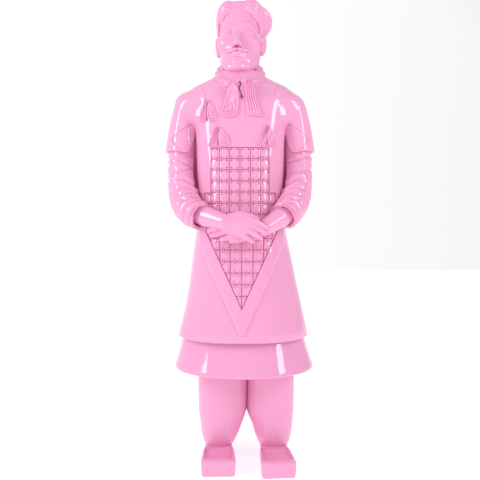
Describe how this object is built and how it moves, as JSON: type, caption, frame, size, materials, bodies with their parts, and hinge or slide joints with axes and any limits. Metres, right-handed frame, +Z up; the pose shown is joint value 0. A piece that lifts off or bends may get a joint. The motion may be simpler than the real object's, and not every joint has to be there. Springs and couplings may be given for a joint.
{
  "type": "standing warrior statue",
  "caption": "Life-size standing general in a plated vest and flared two-tier coat, hands crossed at the belly, scarf knotted at the throat, in gloss lacquer.",
  "frame": {"origin": "on the ground, at the middle of the whole outline seen from above", "axes": "+Z up; the figure faces -Y, and its own left side is towards +X"},
  "size_m": [0.5852, 0.4796, 1.8001],
  "materials": {
    "lacquer": "pink gloss lacquer over resin and glass fibre, polished, with soft waves in its shine"
  },
  "bodies": {
    "root": {"warrior": "lacquer"}
  },
  "joints": []
}
